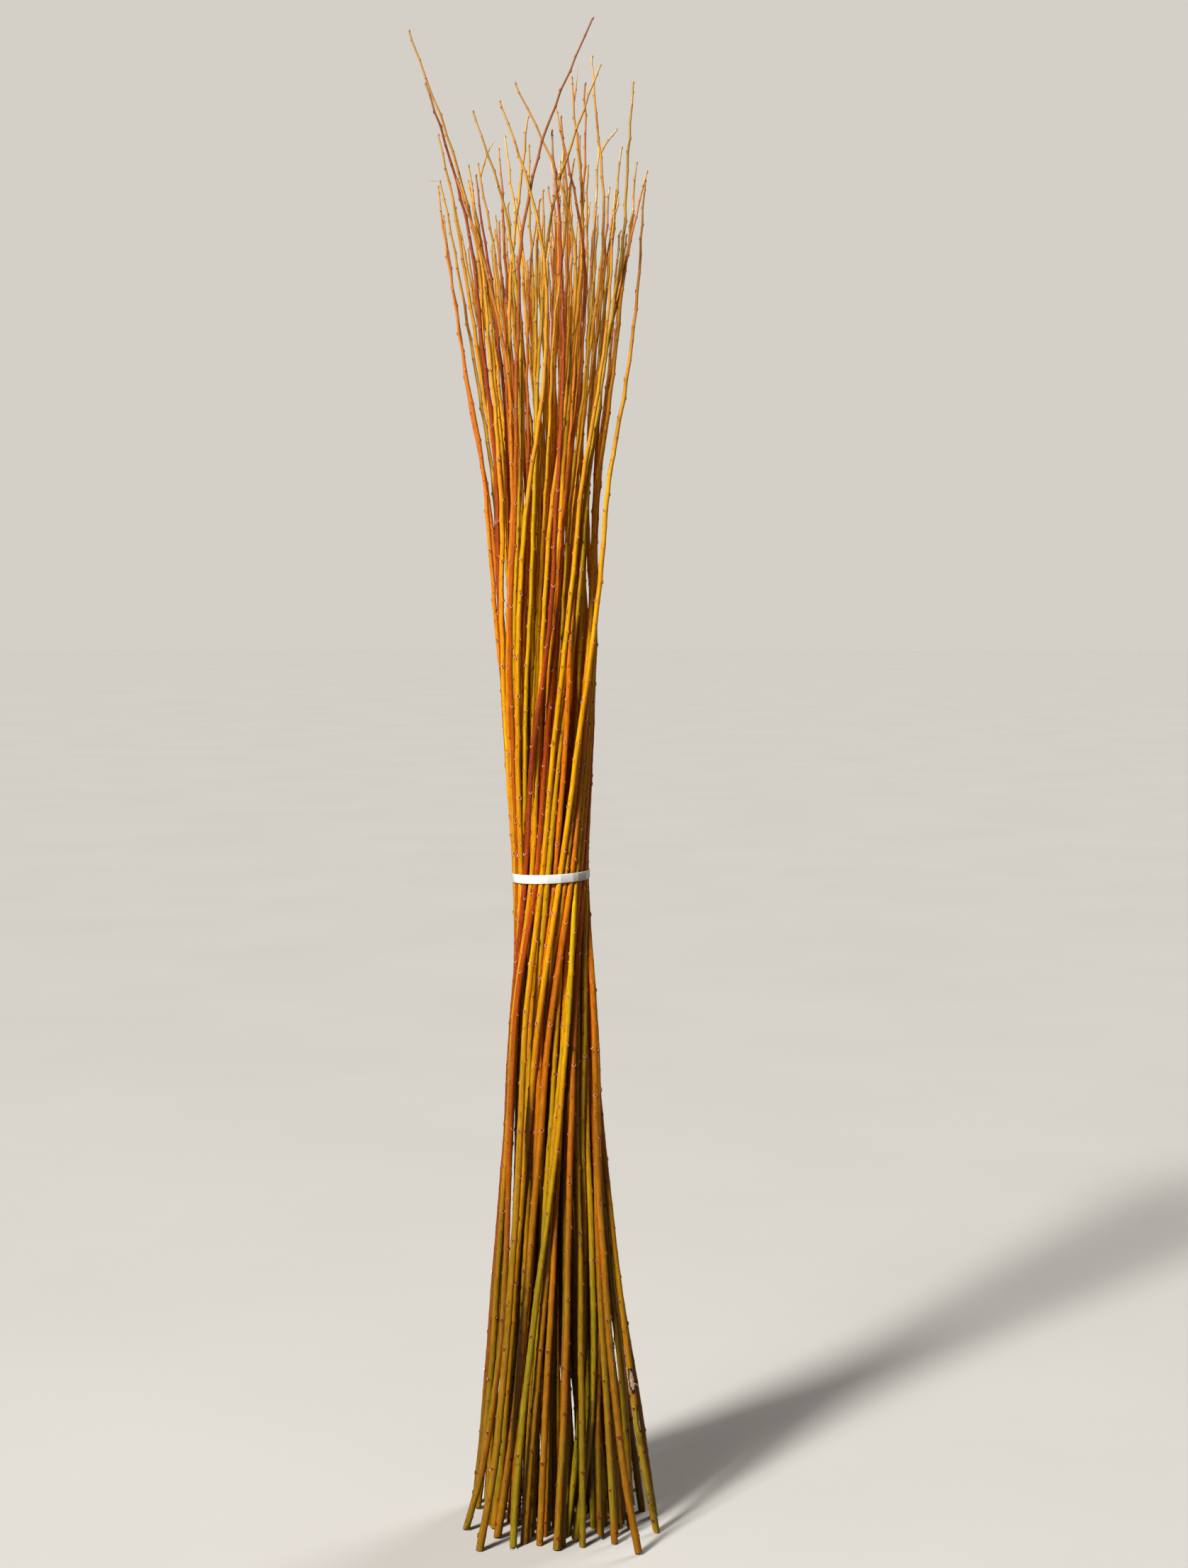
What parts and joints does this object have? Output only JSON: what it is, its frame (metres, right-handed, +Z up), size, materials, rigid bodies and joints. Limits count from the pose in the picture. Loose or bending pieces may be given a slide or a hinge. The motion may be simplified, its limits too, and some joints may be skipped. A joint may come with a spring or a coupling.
{
  "type": "tied bundle of willow rods",
  "caption": "Tall bundle of long thin willow rods, tied at mid height with a flat plastic band, standing on its splayed cut ends and fanning out to thin tips.",
  "frame": {"origin": "middle of the bundle's box on the floor, between the cut ends that it stands on", "axes": "+Z up along the rods, -Y towards the front, +X to the right seen from the front"},
  "size_m": [0.3312, 0.3258, 2.0069],
  "materials": {
    "golden_bark": "satin",
    "amber_bark": "satin",
    "russet_bark": "satin",
    "crimson_bark": "satin",
    "olive_bark": "satin",
    "band_plastic": "gloss"
  },
  "bodies": {
    "root": {"band": "band_plastic", "rod_01": "olive_bark", "rod_02": "russet_bark", "rod_03": "golden_bark", "rod_04": "crimson_bark", "rod_05": "golden_bark", "rod_06": "russet_bark", "rod_07": "golden_bark", "rod_08": "olive_bark", "rod_09": "amber_bark", "rod_10": "golden_bark", "rod_11": "golden_bark", "rod_12": "amber_bark", "rod_13": "olive_bark", "rod_14": "golden_bark", "rod_15": "russet_bark", "rod_16": "olive_bark", "rod_17": "amber_bark", "rod_18": "olive_bark", "rod_19": "amber_bark", "rod_20": "golden_bark", "rod_21": "golden_bark", "rod_22": "crimson_bark", "rod_23": "golden_bark", "rod_24": "amber_bark", "rod_25": "golden_bark", "rod_26": "olive_bark", "rod_27": "golden_bark", "rod_28": "russet_bark", "rod_29": "golden_bark", "rod_30": "amber_bark", "rod_31": "golden_bark", "rod_32": "crimson_bark", "rod_33": "golden_bark", "rod_34": "amber_bark", "rod_35": "golden_bark", "rod_36": "olive_bark", "rod_37": "amber_bark", "rod_38": "golden_bark", "rod_39": "russet_bark", "rod_40": "golden_bark", "rod_41": "olive_bark", "rod_42": "golden_bark", "rod_43": "amber_bark", "rod_44": "crimson_bark", "rod_45": "golden_bark", "rod_46": "olive_bark", "rod_47": "golden_bark", "rod_48": "amber_bark", "rod_49": "golden_bark", "rod_50": "olive_bark", "rod_51": "golden_bark", "rod_52": "russet_bark", "rod_53": "golden_bark", "rod_54": "amber_bark", "rod_55": "golden_bark", "rod_56": "olive_bark", "rod_57": "amber_bark"}
  },
  "joints": []
}
